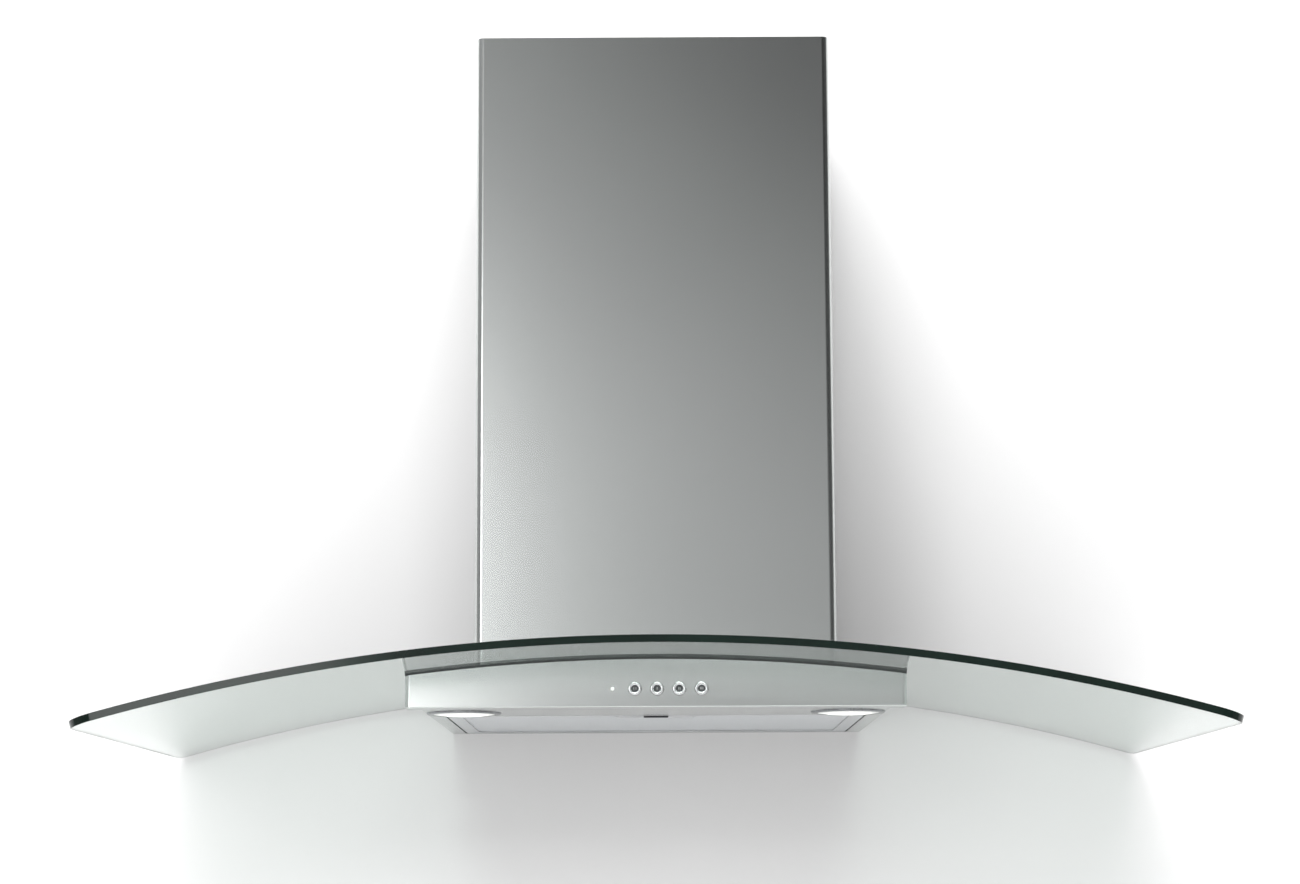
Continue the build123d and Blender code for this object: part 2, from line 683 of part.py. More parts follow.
def make_chimney():
    lower = u_cover(chimney_half, chimney_front, chimney_rear, 0, chimney_top)
    lower -= arch_rod(glass_top_radius + 1)
    clip_z = 70.0
    clip_y = -130.0
    upper_half = chimney_half - sheet - chimney_play
    upper_front = chimney_front + sheet + chimney_play
    upper = u_cover(
        upper_half, upper_front, inner_cover_rear, inner_cover_bottom, inner_cover_top
    )
    screws = []
    clip_sheet = 1.5
    for side, name in ((-1, "left"), (1, "right")):
        near = side * box_half
        far = side * (chimney_half - sheet)
        clip = block(*sorted((near, far)), clip_y - 20, clip_y + 20, 55, 85)
        hollow = sorted((near + side * clip_sheet, far - side * clip_sheet))
        clip -= block(*hollow, clip_y - 21, clip_y + 21, 55 + clip_sheet, 86)
        hole = along_x(*sorted((side * 145, side * 160)), 2.0, clip_y, clip_z)
        parts["chimney_clip_" + name] = clip - hole
        lower -= hole
        head = along_x(*sorted((side * chimney_half, side * (chimney_half + 2))), 3.6, clip_y, clip_z)
        edge = head.edges().sort_by(Axis.X)
        head = fillet(edge[-1] if side > 0 else edge[0], 1.2)
        screws.append(head + along_x(*sorted((side * 147, side * chimney_half)), 1.95, clip_y, clip_z))
    parts["chimney_screws"] = Compound(screws)

    rear_face = inner_cover_rear - sheet
    wing = 1.6
    low_z = bracket_z - 12
    high_z = bracket_z + 12
    bracket = block(-148, 148, rear_face - wing, 0, low_z, high_z)
    bracket -= block(-118, 118, rear_face - wing, -wing, low_z, high_z)
    bracket_screws = []
    for side in (-1, 1):
        bracket -= block(*sorted((side * 120, side * 148)), rear_face, 0, low_z, high_z)
        bracket -= along_y(-5, 1, fixing_radius, side * hook_x, bracket_z)
        hole = along_y(-12, inner_cover_rear + 0.5, 2.0, side * 143, bracket_z)
        bracket -= hole
        upper -= hole
        head = along_y(rear_face - wing - 2.2, rear_face - wing, 3.6, side * 143, bracket_z)
        shank = along_y(rear_face - wing, inner_cover_rear + 0.4, 1.95, side * 143, bracket_z)
        bracket_screws.append(head + shank)
    parts["lower_chimney"] = lower
    parts["upper_chimney"] = upper
    parts["chimney_bracket"] = bracket
    parts["bracket_screws"] = Compound(bracket_screws)


def make_wall_hooks():
    outline = Polyline(
        (0, hook_top - 34),
        (0, hook_top),
        (-3, hook_top),
        (-3, hook_top + 10),
        (-5.5, hook_top + 10),
        (-5.5, hook_top - 4),
        (-2.5, hook_top - 4),
        (-2.5, hook_top - 34),
        close=True,
    )
    hook = extrude(Plane.YZ * make_face(outline), 15, both=True)
    hook -= along_y(-6, 1, fixing_radius, 0, hook_top - 20)
    parts["wall_hook_left"] = Pos(-hook_x, 0, 0) * hook
    parts["wall_hook_right"] = Pos(hook_x, 0, 0) * hook


def make_glass_fixings():
    bushes = []
    screws = []
    head_top = glass_thickness + box_gasket + box_sheet
    for place in glass_screw_places(glass_under_radius):
        foot = along_z(0.05 - gasket, -0.05, 8, 0, 0)
        sleeve = along_z(0.05 - gasket, glass_thickness - 0.1, 4.3, 0, 0)
        bushes.append(place * (foot + sleeve - Cylinder(screw_radius + 0.1, 40)))
        head = along_z(head_top + 0.1, head_top + 3.1, 4.6, 0, 0)
        head = fillet(head.edges().sort_by(Axis.Z)[-1], 1.5)
        shank = along_z(-gasket - 7, head_top + 1, screw_radius, 0, 0)
        nut = Pos(0, 0, -gasket - sheet - 0.1) * extrude(RegularPolygon(4.6, 6), -4)
        screws.append(place * (head + shank + nut))
    parts["glass_bushes"] = Compound(bushes)
    parts["glass_screws"] = Compound(screws)


make_glass()
make_gaskets()
make_body()
make_fascia()
make_controls()
make_control_box()
make_lamps()
make_filter()
make_blower_box()
make_collar_and_flaps()
make_scroll()
make_fan()
make_electrics()
make_chimney()
make_wall_hooks()
make_glass_fixings()

os.makedirs("parts", exist_ok=True)
for name, shape in parts.items():
    shape.label = name
    export_step(shape, f"parts/{name}.step")
print(len(parts), "parts written")
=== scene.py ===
import math

import bmesh
import bpy
from mathutils import Matrix, Vector


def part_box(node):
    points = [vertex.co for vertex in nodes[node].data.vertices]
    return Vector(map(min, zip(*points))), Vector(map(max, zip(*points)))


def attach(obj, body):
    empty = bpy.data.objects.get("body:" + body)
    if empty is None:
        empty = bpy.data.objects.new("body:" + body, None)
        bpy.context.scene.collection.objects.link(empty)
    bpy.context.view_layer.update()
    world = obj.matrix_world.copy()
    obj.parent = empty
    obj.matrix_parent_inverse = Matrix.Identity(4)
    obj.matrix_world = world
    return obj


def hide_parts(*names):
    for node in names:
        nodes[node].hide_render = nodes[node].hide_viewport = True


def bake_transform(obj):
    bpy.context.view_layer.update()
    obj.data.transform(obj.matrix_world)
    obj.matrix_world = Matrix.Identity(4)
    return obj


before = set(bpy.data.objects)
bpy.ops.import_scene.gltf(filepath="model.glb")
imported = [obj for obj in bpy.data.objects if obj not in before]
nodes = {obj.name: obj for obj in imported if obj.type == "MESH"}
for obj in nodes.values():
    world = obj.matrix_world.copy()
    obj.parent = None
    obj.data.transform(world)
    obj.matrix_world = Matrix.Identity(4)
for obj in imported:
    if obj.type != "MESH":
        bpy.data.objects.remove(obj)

# the scene that Blender opens with has a cube, a lamp and a camera of its own
for startObject in ("Cube", "Light", "Camera"):
    if startObject in bpy.data.objects:
        bpy.data.objects.remove(bpy.data.objects[startObject])
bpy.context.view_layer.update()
mm = 0.001
print("frame loaded:", len(nodes), "nodes")


def fromHex(code):
    channels = [int(code[i:i + 2], 16) / 255 for i in (1, 3, 5)]
    linear = [c / 12.92 if c <= 0.04045 else ((c + 0.055) / 1.055) ** 2.4 for c in channels]
    return (*linear, 1.0)


def addNode(tree, kind, inputs=None, **settings):
    node = tree.nodes.new(kind)
    for setting, value in settings.items():
        setattr(node, setting, value)
    for socket, value in (inputs or {}).items():
        if isinstance(value, bpy.types.NodeSocket):
            tree.links.new(value, node.inputs[socket])
        else:
            node.inputs[socket].default_value = value
    return node


def startMaterial(name, surface):
    material = bpy.data.materials.new(name)
    material.use_nodes = True
    tree = material.node_tree
    shader = tree.nodes["Principled BSDF"]
    for socket, value in surface.items():
        shader.inputs[socket].default_value = value
    place = addNode(tree, "ShaderNodeTexCoord").outputs["Object"]
    return material, tree, shader, place


def objectFromBmesh(name, shape, materials):
    mesh = bpy.data.meshes.new(name)
    shape.to_mesh(mesh)
    shape.free()
    for material in materials:
        mesh.materials.append(material)
    piece = bpy.data.objects.new(name, mesh)
    bpy.context.scene.collection.objects.link(piece)
    return piece


def spanLoops(shape, near, far, finish=0):
    # smooth faces between two rings of points; a ring of one point closes to a pole
    count = max(len(near), len(far))
    for i in range(count):
        j = (i + 1) % count
        if len(near) == 1:
            face = shape.faces.new((near[0], far[i], far[j]))
        elif len(far) == 1:
            face = shape.faces.new((near[j], near[i], far[0]))
        else:
            face = shape.faces.new((near[i], far[i], far[j], near[j]))
        face.material_index = finish
        face.smooth = True


def brushedStainless(name, grain):
    # 304 stainless sheet with a satin belt finish: its fine lines blur a reflection, so that
    # the room shows as one soft gradient with no clear image in it
    look = dict(lineSpacing=0.3 * mm, lineLength=90 * mm, smudgeSize=300 * mm, roughness=0.23,
                spread=0.02)
    material, tree, steel, place = startMaterial(name, {
        "Base Color": fromHex("#C7CAC9"), "Metallic": 1.0, "Roughness": look["roughness"]})
    # real lines are 0.1 mm apart; they are drawn coarser, so that a close view shows them
    stretch = [1 / look["lineSpacing"]] * 3
    stretch["XYZ".index(grain)] = 1 / look["lineLength"]
    along = addNode(tree, "ShaderNodeMapping", {"Vector": place, "Scale": stretch})
    lines = addNode(tree, "ShaderNodeTexNoise", {
        "Vector": along.outputs["Vector"], "Scale": 1.0, "Detail": 2.0, "Roughness": 0.5})
    smudges = addNode(tree, "ShaderNodeTexNoise", {
        "Vector": place, "Scale": 1 / look["smudgeSize"], "Detail": 1.0})
    both = addNode(tree, "ShaderNodeMath", {
        0: lines.outputs["Fac"], 1: smudges.outputs["Fac"]}, operation="ADD")
    rough = addNode(tree, "ShaderNodeMapRange", {
        "Value": both.outputs[0], "From Min": 0.6, "From Max": 1.4,
        "To Min": look["roughness"] - look["spread"], "To Max": look["roughness"] + look["spread"]})
    relief = addNode(tree, "ShaderNodeBump", {
        "Height": lines.outputs["Fac"], "Strength": 0.03, "Distance": 0.02 * mm})
    tree.links.new(rough.outputs["Result"], steel.inputs["Roughness"])
    tree.links.new(relief.outputs["Normal"], steel.inputs["Normal"])
    return material


def temperedGlass():
    # 6 mm soda-lime float glass, heat-treated: clear through its faces, with a trace of green
    material, tree, glass, place = startMaterial("temperedFloatGlass", {
        "Base Color": fromHex("#CDD6D2"), "Roughness": 0.0, "IOR": 1.52,
        "Transmission Weight": 1.0})
    # roller waves from the tempering oven bend a reflection by a hair, every 250 mm or so
    waves = addNode(tree, "ShaderNodeTexNoise", {"Vector": place, "Scale": 4.0, "Detail": 1.0})
    relief = addNode(tree, "ShaderNodeBump", {
        "Height": waves.outputs["Fac"], "Strength": 0.04, "Distance": 1 * mm})
    tree.links.new(relief.outputs["Normal"], glass.inputs["Normal"])
    clear = addNode(tree, "ShaderNodeBsdfTransparent", {"Color": fromHex("#CFD5D2")})
    rays = addNode(tree, "ShaderNodeLightPath")
    lit = addNode(tree, "ShaderNodeMixShader", {
        0: rays.outputs["Is Shadow Ray"], 1: glass.outputs["BSDF"], 2: clear.outputs["BSDF"]})
    tree.links.new(lit.outputs["Shader"], tree.nodes["Material Output"].inputs["Surface"])
    return material


def groundGlassEdge():
    # the ground and polished rim: light reaches it through half a metre of glass, so the
    # iron in the glass turns it a deep bottle green
    material, tree, edge, place = startMaterial("groundGlassEdge", {
        "Base Color": fromHex("#0C1A16"), "Roughness": 0.12, "IOR": 1.52,
        "Specular IOR Level": 0.25})
    # lighter and darker stretches, about 29 mm long
    bands = addNode(tree, "ShaderNodeTexNoise", {"Vector": place, "Scale": 35.0, "Detail": 2.0})
    colour = addNode(tree, "ShaderNodeMix", {
        "Factor": bands.outputs["Fac"], 6: fromHex("#08130F"), 7: fromHex("#12241E")},
        data_type="RGBA")
    tree.links.new(colour.outputs[2], edge.inputs["Base Color"])
    return material


def rubber():
    # extruded EPDM foam seal: matt, dark grey, with fine closed pores 0.9 mm apart
    material, tree, seal, place = startMaterial("epdmSealRubber", {
        "Base Color": fromHex("#3A3C3C"), "Roughness": 0.78, "Specular IOR Level": 0.35})
    pores = addNode(tree, "ShaderNodeTexVoronoi", {"Vector": place, "Scale": 1 / (0.9 * mm)})
    relief = addNode(tree, "ShaderNodeBump", {
        "Height": pores.outputs["Distance"], "Strength": 0.25, "Distance": 0.1 * mm})
    tree.links.new(relief.outputs["Normal"], seal.inputs["Normal"])
    return material


def galvanised():
    # hot-dip galvanised sheet: zinc crystals 6 to 12 mm across, each with its own shade
    material, tree, zinc, place = startMaterial("galvanisedSheetSteel", {
        "Base Color": fromHex("#A9ADAF"), "Metallic": 0.95, "Roughness": 0.46})
    crystals = addNode(tree, "ShaderNodeTexVoronoi", {
        "Vector": place, "Scale": 1 / (9 * mm), "Randomness": 1.0})
    shade = addNode(tree, "ShaderNodeSeparateColor", {"Color": crystals.outputs["Color"]})
    colour = addNode(tree, "ShaderNodeMix", {
        "Factor": shade.outputs["Red"], 6: fromHex("#8F9497"), 7: fromHex("#B9BDBF")},
        data_type="RGBA")
    rough = addNode(tree, "ShaderNodeMapRange", {
        "Value": shade.outputs["Green"], "To Min": 0.36, "To Max": 0.56})
    tree.links.new(colour.outputs[2], zinc.inputs["Base Color"])
    tree.links.new(rough.outputs["Result"], zinc.inputs["Roughness"])
    return material


def platedSteel(name, colour, roughness):
    # zinc-plated or bright steel: small hardware, tumbled, so it has a faint mottle
    material, tree, steel, place = startMaterial(name, {
        "Base Color": fromHex(colour), "Metallic": 1.0, "Roughness": roughness})
    mottle = addNode(tree, "ShaderNodeTexNoise", {
        "Vector": place, "Scale": 1 / (1.5 * mm), "Detail": 3.0})
    rough = addNode(tree, "ShaderNodeMapRange", {
        "Value": mottle.outputs["Fac"], "From Min": 0.3, "From Max": 0.7,
        "To Min": roughness - 0.06, "To Max": roughness + 0.08})
    tree.links.new(rough.outputs["Result"], steel.inputs["Roughness"])
    return material


def mouldedPlastic(name, colour, roughness, grain):
    # injection-moulded part: the mould's spark-eroded grain breaks up the shine
    material, tree, plastic, place = startMaterial(name, {
        "Base Color": fromHex(colour), "Roughness": roughness, "IOR": 1.5})
    texture = addNode(tree, "ShaderNodeTexNoise", {
        "Vector": place, "Scale": 1 / grain, "Detail": 2.0})
    rough = addNode(tree, "ShaderNodeMapRange", {
        "Value": texture.outputs["Fac"], "From Min": 0.3, "From Max": 0.7,
        "To Min": roughness - 0.07, "To Max": roughness + 0.07})
    relief = addNode(tree, "ShaderNodeBump", {
        "Height": texture.outputs["Fac"], "Strength": 0.2, "Distance": 0.05 * mm})
    tree.links.new(rough.outputs["Result"], plastic.inputs["Roughness"])
    tree.links.new(relief.outputs["Normal"], plastic.inputs["Normal"])
    return material


def castAluminium():
    # pressure die-cast aluminium: dull silver with a skin of small pits
    material, tree, metal, place = startMaterial("dieCastAluminium", {
        "Base Color": fromHex("#B4B5B6"), "Metallic": 1.0, "Roughness": 0.5})
    pits = addNode(tree, "ShaderNodeTexNoise", {
        "Vector": place, "Scale": 1 / (0.8 * mm), "Detail": 4.0})
    relief = addNode(tree, "ShaderNodeBump", {
        "Height": pits.outputs["Fac"], "Strength": 0.3, "Distance": 0.08 * mm})
    tree.links.new(relief.outputs["Normal"], metal.inputs["Normal"])
    return material


def rolledAluminium(name, spacing):
    # mill-finish aluminium strip: bright, with faint roll lines along X
    material, tree, metal, place = startMaterial(name, {
        "Base Color": fromHex("#CDCFD1"), "Metallic": 1.0, "Roughness": 0.34})
    along = addNode(tree, "ShaderNodeMapping", {
        "Vector": place, "Scale": (1 / (60 * mm), 1 / spacing, 1 / spacing)})
    lines = addNode(tree, "ShaderNodeTexNoise", {
        "Vector": along.outputs["Vector"], "Scale": 1.0, "Detail": 2.0})
    rough = addNode(tree, "ShaderNodeMapRange", {
        "Value": lines.outputs["Fac"], "From Min": 0.3, "From Max": 0.7,
        "To Min": 0.28, "To Max": 0.42})
    tree.links.new(rough.outputs["Result"], metal.inputs["Roughness"])
    return material


def knittedCore():
    # layers of expanded foil behind the screen, 3 mm mesh: bright strands, with painted shade in the
    # gaps between them for the depth of the layers below
    material, tree, metal, place = startMaterial("expandedFoilCorePaintedShade", {
        "Base Color": fromHex("#B7BABC"), "Metallic": 0.9, "Roughness": 0.42})
    turned = addNode(tree, "ShaderNodeMapping", {
        "Vector": place, "Rotation": (0, 0, math.radians(45)), "Scale": (1 / (3 * mm),) * 3})
    cells = addNode(tree, "ShaderNodeTexVoronoi", {
        "Vector": turned.outputs["Vector"], "Scale": 1.0, "Randomness": 0.0},
        distance="CHEBYCHEV")
    strands = addNode(tree, "ShaderNodeMapRange", {
        "Value": cells.outputs["Distance"], "From Min": 0.26, "From Max": 0.36})
    # painted shade: the gaps get a dark colour in place of the shade between the foil layers
    colour = addNode(tree, "ShaderNodeMix", {
        "Factor": strands.outputs["Result"], 6: fromHex("#3A3C3D"), 7: fromHex("#C2C5C7")},
        data_type="RGBA")
    relief = addNode(tree, "ShaderNodeBump", {
        "Height": strands.outputs["Result"], "Strength": 0.6, "Distance": 0.3 * mm})
    tree.links.new(colour.outputs[2], metal.inputs["Base Color"])
    tree.links.new(relief.outputs["Normal"], metal.inputs["Normal"])
    return material


def frostedLens():
    # sand-blasted glass lens with the lamp lit behind it: white over the bulb, grey at the rim
    glow = dict(bulb=(159.5 * mm, -305 * mm, 0), core=9 * mm, rim=25 * mm, bright=1.1, dim=0.12)
    material, tree, lens, place = startMaterial("frostedLampGlass", {
        "Base Color": fromHex("#D9DBDA"), "Roughness": 0.45, "IOR": 1.5,
        "Emission Color": fromHex("#FFFDF8")})
    parted = addNode(tree, "ShaderNodeSeparateXYZ", {"Vector": place})
    eitherSide = addNode(tree, "ShaderNodeMath", {0: parted.outputs["X"]}, operation="ABSOLUTE")
    level = addNode(tree, "ShaderNodeCombineXYZ", {
        "X": eitherSide.outputs[0], "Y": parted.outputs["Y"]})
    fromBulb = addNode(tree, "ShaderNodeVectorMath", {
        0: level.outputs[0], 1: glow["bulb"]}, operation="DISTANCE")
    fade = addNode(tree, "ShaderNodeMapRange", {
        "Value": fromBulb.outputs["Value"], "From Min": glow["core"], "From Max": glow["rim"],
        "To Min": glow["bright"], "To Max": glow["dim"]}, interpolation_type="SMOOTHSTEP")
    tree.links.new(fade.outputs["Result"], lens.inputs["Emission Strength"])
    frost = addNode(tree, "ShaderNodeTexNoise", {
        "Vector": place, "Scale": 1 / (0.5 * mm), "Detail": 2.0})
    relief = addNode(tree, "ShaderNodeBump", {
        "Height": frost.outputs["Fac"], "Strength": 0.2, "Distance": 0.05 * mm})
    tree.links.new(relief.outputs["Normal"], lens.inputs["Normal"])
    return material


def printedCircuit():
    # glass-fibre board with a green solder mask over copper tracks 1.2 mm apart
    material, tree, board, place = startMaterial("solderMaskedBoard", {
        "Base Color": fromHex("#1E5A38"), "Roughness": 0.35, "IOR": 1.55})
    tracks = addNode(tree, "ShaderNodeTexBrick", {
        "Vector": place, "Scale": 1 / (6 * mm), "Mortar Size": 0.12,
        "Color1": fromHex("#1D5636"), "Color2": fromHex("#226440"), "Mortar": fromHex("#2F7B50")})
    tree.links.new(tracks.outputs["Color"], board.inputs["Base Color"])
    return material


steelAcross = brushedStainless("brushedStainlessAcross", "X")
steelUpright = brushedStainless("brushedStainlessUpright", "Z")
glassClear = temperedGlass()
glassEdge = groundGlassEdge()
sealRubber = rubber()
zincSheet = galvanised()
zincPlate = platedSteel("zincPlatedSteel", "#B9BCC0", 0.32)
springSteel = platedSteel("springSteel", "#A8ABAE", 0.28)
buttonChrome = platedSteel("satinChromedPlastic", "#D2D3D4", 0.2)
bezelMetal = platedSteel("satinNickelBezel", "#8A8C8E", 0.24)
scrollPlastic = mouldedPlastic("greyPolypropylene", "#8C9093", 0.5, 0.7 * mm)
blackPlastic = mouldedPlastic("blackGlassFilledNylon", "#26282A", 0.5, 0.6 * mm)
whitePlastic = mouldedPlastic("naturalNylon", "#E4E2DA", 0.42, 0.6 * mm)
capCentre = mouldedPlastic("smokedButtonCentre", "#3B3E40", 0.35, 0.4 * mm)
markPaint = mouldedPlastic("paleButtonPrint", "#D9DAD8", 0.5, 0.4 * mm)
motorMetal = castAluminium()
frameAluminium = rolledAluminium("millFinishAluminium", 0.8 * mm)
meshAluminium = rolledAluminium("expandedAluminium", 0.5 * mm)
coreFoil = knittedCore()
lensGlass = frostedLens()
circuitBoard = printedCircuit()
# quartz capsule, lit: it shows as a warm white spot behind the lens
bulbGlow = startMaterial("litHalogenCapsule", {
    "Base Color": fromHex("#FFF6E6"), "Roughness": 0.3,
    "Emission Color": fromHex("#FFF1D8"), "Emission Strength": 3.0})[0]
# polished acrylic rod that brings the light to the fascia: a small pale dot
lightGuide = startMaterial("clearAcrylicLightGuide", {
    "Base Color": fromHex("#F2F4F2"), "Roughness": 0.15, "IOR": 1.49,
    "Emission Color": fromHex("#F4F7F2"), "Emission Strength": 0.35})[0]

finishes = {
    "tempered_glass": glassClear, "black_rubber": sealRubber, "brushed_steel": steelAcross,
    "galvanised_steel": zincSheet, "plated_steel": zincPlate, "grey_plastic": scrollPlastic,
    "dark_plastic": blackPlastic, "white_nylon": whitePlastic, "cast_aluminium": motorMetal,
    "aluminium": frameAluminium, "aluminium_mesh": coreFoil, "latch_metal": springSteel,
    "lamp_bezel": bezelMetal, "frosted_lens": lensGlass, "lamp_glow": bulbGlow,
    "button_cap": buttonChrome, "indicator_lens": lightGuide, "circuit_board": circuitBoard,
}
upright = ("lower_chimney", "upper_chimney")
for nodeName, node in nodes.items():
    for slot in node.material_slots:
        slot.material = steelUpright if nodeName in upright else finishes[slot.material.name]
print("materials:", len(finishes), "finishes on the frame's nodes")


def buildGlass():
    low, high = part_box("glass_canopy")
    # the sheet is bent across its width; the air opening over the blower has its own corners
    size = dict(thickness=6 * mm, rise=63.5 * mm, frontCorner=22 * mm, rearCorner=10 * mm,
                columns=140, cornerSteps=8, arris=0.9 * mm, airHalf=115 * mm,
                airFront=-225 * mm, airRear=-45 * mm, airCorner=10 * mm)
    half = high.x
    radius = (half ** 2 + size["rise"] ** 2) / (2 * size["rise"])
    endAngle = math.asin(half / radius)
    reach = radius * endAngle
    sameAngle = 1e-5

    def inset(distance, corner):
        # how far a rounded corner pulls in at this distance from its tangent point
        return corner - math.sqrt(max(corner ** 2 - max(distance, 0) ** 2, 0))

    bends = [math.sin(math.radians(90 * i / size["cornerSteps"]))
             for i in range(size["cornerSteps"] + 1)]
    stations = {endAngle * (2 * i / size["columns"] - 1) for i in range(size["columns"] + 1)}
    for side in (-1, 1):
        for bend in bends:
            stations.add(side * (reach - size["frontCorner"] * (1 - bend)) / radius)
            airX = size["airHalf"] - size["airCorner"] * (1 - bend)
            stations.add(side * math.asin(airX / radius))
    ordered = []
    for angle in sorted(stations):
        if not ordered or angle - ordered[-1] > sameAngle:
            ordered.append(angle)
    airAngle = math.asin(size["airHalf"] / radius)

    shape = bmesh.new()
    columns = []
    for angle in ordered:
        along = abs(radius * angle)
        x = abs(radius * math.sin(angle))
        front = low.y + inset(along - (reach - size["frontCorner"]), size["frontCorner"])
        rear = high.y - inset(along - (reach - size["rearCorner"]), size["rearCorner"])
        pull = inset(min(x, size["airHalf"]) - (size["airHalf"] - size["airCorner"]),
                     size["airCorner"])
        rows = (front, size["airFront"] + pull, size["airRear"] - pull, rear)
        column = []
        for r in (radius, radius - size["thickness"]):
            z = high.z - radius + r * math.cos(angle)
            column.append([shape.verts.new((r * math.sin(angle), y, z)) for y in rows])
        columns.append((angle, column))

    def wall(a, b, c, d):
        face = shape.faces.new((a, b, c, d))
        face.material_index = 1

    for (angleA, (topA, underA)), (angleB, (topB, underB)) in zip(columns, columns[1:]):
        inside = abs((angleA + angleB) / 2) < airAngle
        for row in (0, 1, 2):
            if row == 1 and inside:
                continue
            shape.faces.new((topA[row], topB[row], topB[row + 1], topA[row + 1]))
            shape.faces.new((underA[row + 1], underB[row + 1], underB[row], underA[row]))
        wall(underA[0], underB[0], topB[0], topA[0])
        wall(topA[3], topB[3], underB[3], underA[3])
        if inside:
            wall(topA[1], topB[1], underB[1], underA[1])
            wall(underA[2], underB[2], topB[2], topA[2])
    firstTop, firstUnder = columns[0][1]
    lastTop, lastUnder = columns[-1][1]
    for row in (0, 1, 2):
        wall(firstTop[row], firstTop[row + 1], firstUnder[row + 1], firstUnder[row])
        wall(lastUnder[row], lastUnder[row + 1], lastTop[row + 1], lastTop[row])
    for angle, (top, under) in columns:
        if abs(abs(angle) - airAngle) < sameAngle:
            if angle < 0:
                wall(top[2], top[1], under[1], under[2])
            else:
                wall(top[1], top[2], under[2], under[1])
    bmesh.ops.recalc_face_normals(shape, faces=shape.faces)
    for face in shape.faces:
        face.smooth = True
    glass = objectFromBmesh("curvedGlass", shape, [glassClear, glassEdge])
    arris = glass.modifiers.new("groundArris", "BEVEL")
    arris.width = size["arris"]
    arris.segments = 2
    arris.limit_method = "ANGLE"
    arris.angle_limit = math.radians(40)
    arris.harden_normals = True
    arris.material = 1
    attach(glass, "hood")
    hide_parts("glass_canopy")
    return glass


curvedGlass = buildGlass()
print("glass:", len(curvedGlass.data.polygons), "faces")


def geometryTree(name, inputs):
    tree = bpy.data.node_groups.new(name, "GeometryNodeTree")
    tree.interface.new_socket("Geometry", in_out="INPUT", socket_type="NodeSocketGeometry")
    for label, kind in inputs:
        tree.interface.new_socket(label, in_out="INPUT", socket_type="NodeSocket" + kind)
    tree.interface.new_socket("Geometry", in_out="OUTPUT", socket_type="NodeSocketGeometry")
    return tree, tree.nodes.new("NodeGroupInput").outputs, tree.nodes.new("NodeGroupOutput")


def grownMesh(name, start, tree, values):
    # runs a node tree on a start mesh and gives its result back as a plain mesh
    grower = bpy.data.objects.new(name, start)
    bpy.context.scene.collection.objects.link(grower)
    modifier = grower.modifiers.new(name, "NODES")
    modifier.node_group = tree
    for item in tree.interface.items_tree:
        if item.in_out == "INPUT" and item.name in values:
            modifier[item.identifier] = values[item.name]
    seen = grower.evaluated_get(bpy.context.evaluated_depsgraph_get())
    mesh = bpy.data.meshes.new_from_object(seen)
    grower.modifiers.clear()
    bpy.data.objects.remove(grower)
    return mesh


def meshTree():
    # one sheet of expanded metal: zigzag strands in rows, each row half a diamond past the last
    tree, given, result = geometryTree("expandedMetalSheet", [
        ("Rows", "Int"), ("Links", "Int"), ("Diamond Length", "Float"),
        ("Diamond Width", "Float"), ("Strand", "Float"), ("Corner", "Vector"),
        ("Metal", "Material")])
    halfLength = addNode(tree, "ShaderNodeMath", {0: given["Diamond Length"], 1: 0.5},
                         operation="MULTIPLY")
    rowStep = addNode(tree, "ShaderNodeMath", {0: given["Diamond Width"], 1: 0.5},
                      operation="MULTIPLY")
    step = addNode(tree, "ShaderNodeCombineXYZ", {"X": halfLength.outputs[0]})
    line = addNode(tree, "GeometryNodeMeshLine", {
        "Count": given["Links"], "Offset": step.outputs[0]})
    index = addNode(tree, "GeometryNodeInputIndex")
    odd = addNode(tree, "ShaderNodeMath", {0: index.outputs[0], 1: 2.0}, operation="MODULO")
    swing = addNode(tree, "ShaderNodeMath", {0: odd.outputs[0], 1: 0.5}, operation="SUBTRACT")
    reach = addNode(tree, "ShaderNodeMath", {0: swing.outputs[0], 1: rowStep.outputs[0]},
                    operation="MULTIPLY")
    sideways = addNode(tree, "ShaderNodeCombineXYZ", {"Y": reach.outputs[0]})
    zigzag = addNode(tree, "GeometryNodeSetPosition", {
        "Geometry": line.outputs[0], "Offset": sideways.outputs[0]})
    path = addNode(tree, "GeometryNodeMeshToCurve", {"Mesh": zigzag.outputs[0]})
    section = addNode(tree, "GeometryNodeCurvePrimitiveQuadrilateral", {
        "Width": given["Strand"], "Height": given["Strand"]})
    strand = addNode(tree, "GeometryNodeCurveToMesh", {
        "Curve": path.outputs[0], "Profile Curve": section.outputs[0], "Fill Caps": True})
    rowOffset = addNode(tree, "ShaderNodeCombineXYZ", {"Y": rowStep.outputs[0]})
    rows = addNode(tree, "GeometryNodeMeshLine", {
        "Count": given["Rows"], "Offset": rowOffset.outputs[0],
        "Start Location": given["Corner"]})
    rowIndex = addNode(tree, "GeometryNodeInputIndex")
    rowOdd = addNode(tree, "ShaderNodeMath", {0: rowIndex.outputs[0], 1: 2.0}, operation="MODULO")
    shift = addNode(tree, "ShaderNodeMath", {0: rowOdd.outputs[0], 1: halfLength.outputs[0]},
                    operation="MULTIPLY")
    past = addNode(tree, "ShaderNodeCombineXYZ", {"X": shift.outputs[0]})
    staggered = addNode(tree, "GeometryNodeSetPosition", {
        "Geometry": rows.outputs[0], "Offset": past.outputs[0]})
    placed = addNode(tree, "GeometryNodeInstanceOnPoints", {
        "Points": staggered.outputs[0], "Instance": strand.outputs[0]})
    real = addNode(tree, "GeometryNodeRealizeInstances", {"Geometry": placed.outputs[0]})
    metal = addNode(tree, "GeometryNodeSetMaterial", {
        "Geometry": real.outputs[0], "Material": given["Metal"]})
    tree.links.new(metal.outputs[0], result.inputs["Geometry"])
    return tree


